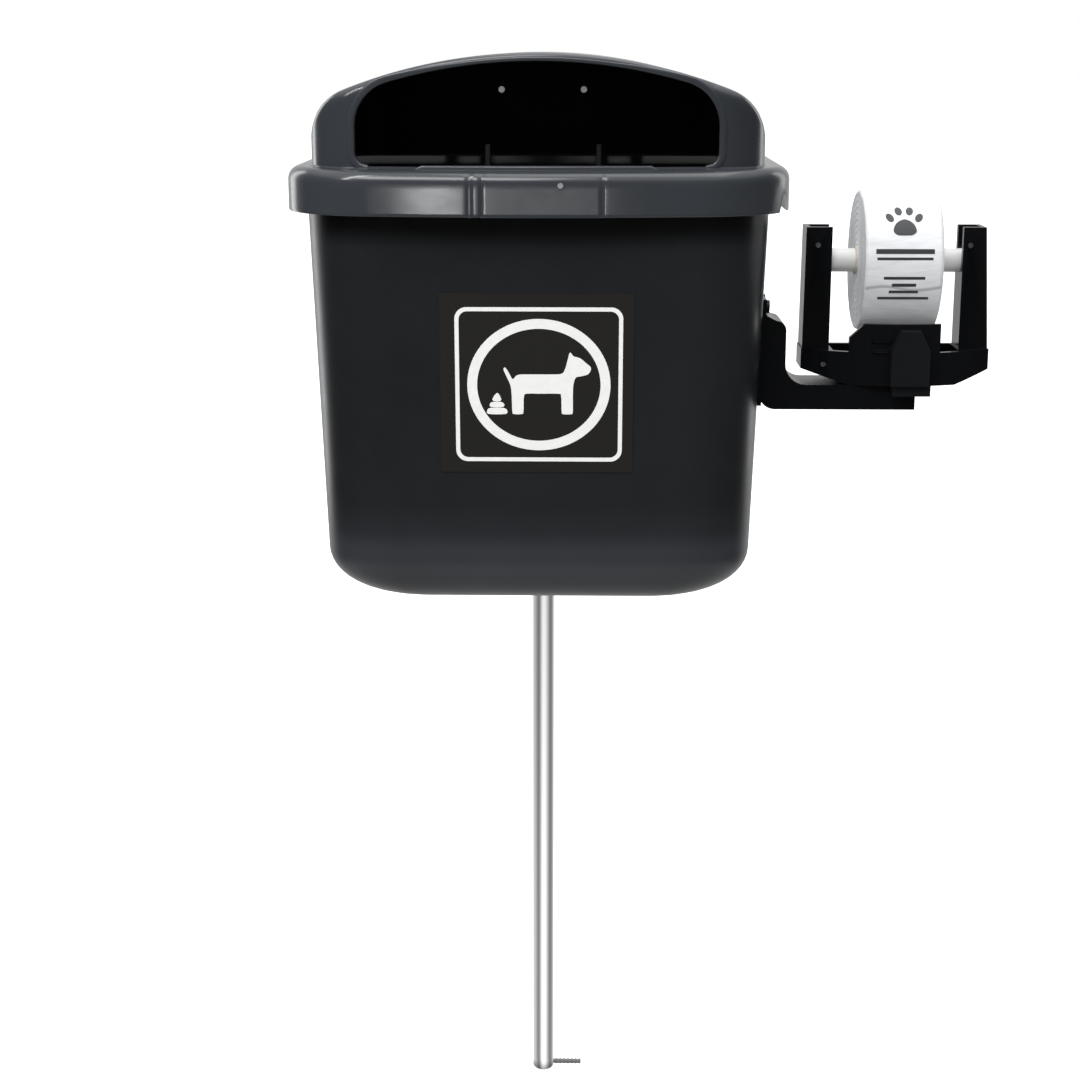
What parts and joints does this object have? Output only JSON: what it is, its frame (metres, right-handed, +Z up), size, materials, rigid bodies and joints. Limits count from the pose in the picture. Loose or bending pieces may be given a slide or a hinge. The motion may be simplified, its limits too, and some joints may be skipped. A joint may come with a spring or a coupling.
{
  "type": "dog waste bin",
  "caption": "Litter bin for dog waste: tapered tub with a hooded, rear-hinged lid on a slim steel pole, and a side cradle that carries a roll of bags.",
  "frame": {"origin": "centre of the pole's lower end face", "axes": "+Z up along the pole, -Y towards the mouth of the bin, +X towards the bag dispenser"},
  "size_m": [0.587, 0.3357, 1.027],
  "materials": {
    "tub_plastic": "charcoal moulded plastic, satin",
    "lid_plastic": "slate grey moulded plastic, semi-gloss",
    "black_plastic": "black moulded plastic, satin",
    "white_plastic": "white moulded plastic",
    "bag_film": "thin white film wound on a core, plain grey print",
    "cardboard": "plain brown board",
    "sign_vinyl": "matt dark vinyl with a plain white sign",
    "polished_steel": "polished stainless tube",
    "zinc_steel": "bright zinc-plated steel",
    "black_steel": "black powder-coated steel"
  },
  "bodies": {
    "post_and_tub": {"pole_tube": "polished_steel", "pole_top_cap": "black_plastic", "pole_foot_cap": "polished_steel", "anchor_bar": "polished_steel", "pole_bracket": "black_steel", "bracket_bolts": "zinc_steel", "bracket_nuts": "zinc_steel", "clamp_cap_upper": "black_steel", "clamp_cap_lower": "black_steel", "clamp_bolts": "zinc_steel", "clamp_nuts": "zinc_steel", "tub": "tub_plastic", "front_sticker": "sign_vinyl", "bag_ring_clips": "black_plastic", "ring_clip_screws": "zinc_steel", "hinge_brackets": "tub_plastic", "hinge_pins": "zinc_steel", "dispenser_arm": "black_plastic", "arm_backing_plate": "zinc_steel", "arm_bolts": "black_steel", "arm_nuts": "zinc_steel", "roll_cradle": "black_plastic", "cradle_clip": "black_plastic", "cradle_screws": "zinc_steel"},
    "lid": {"lid": "lid_plastic", "lid_hinge_leaves": "lid_plastic", "bag_fin_strip": "black_plastic", "strip_rivets": "zinc_steel", "rim_screw": "zinc_steel", "hood_pad": "black_plastic", "hood_screws": "zinc_steel"},
    "bag_ring": {"bag_ring": "zinc_steel"},
    "spindle": {"spindle_tube": "white_plastic"},
    "roll": {"roll_core": "cardboard", "bag_roll": "bag_film"}
  },
  "joints": [
    {"name": "lid_hinge", "type": "hinge", "parent": "post_and_tub", "child": "lid", "pos_m": [0, -0.009, 0.908], "axis": [-1, 0, 0], "range_deg": [0, 105]},
    {"name": "bag_ring_hinge", "type": "hinge", "parent": "post_and_tub", "child": "bag_ring", "pos_m": [0, -0.05, 0.917], "axis": [-1, 0, 0], "range_deg": [0, 14]},
    {"name": "spindle_lift", "type": "slide", "parent": "post_and_tub", "child": "spindle", "axis": [0, 0, 1], "range_m": [0, 0.045]},
    {"name": "roll_spin", "type": "hinge", "parent": "spindle", "child": "roll", "pos_m": [0, -0.17, 0.855], "axis": [1, 0, 0], "continuous": true}
  ]
}
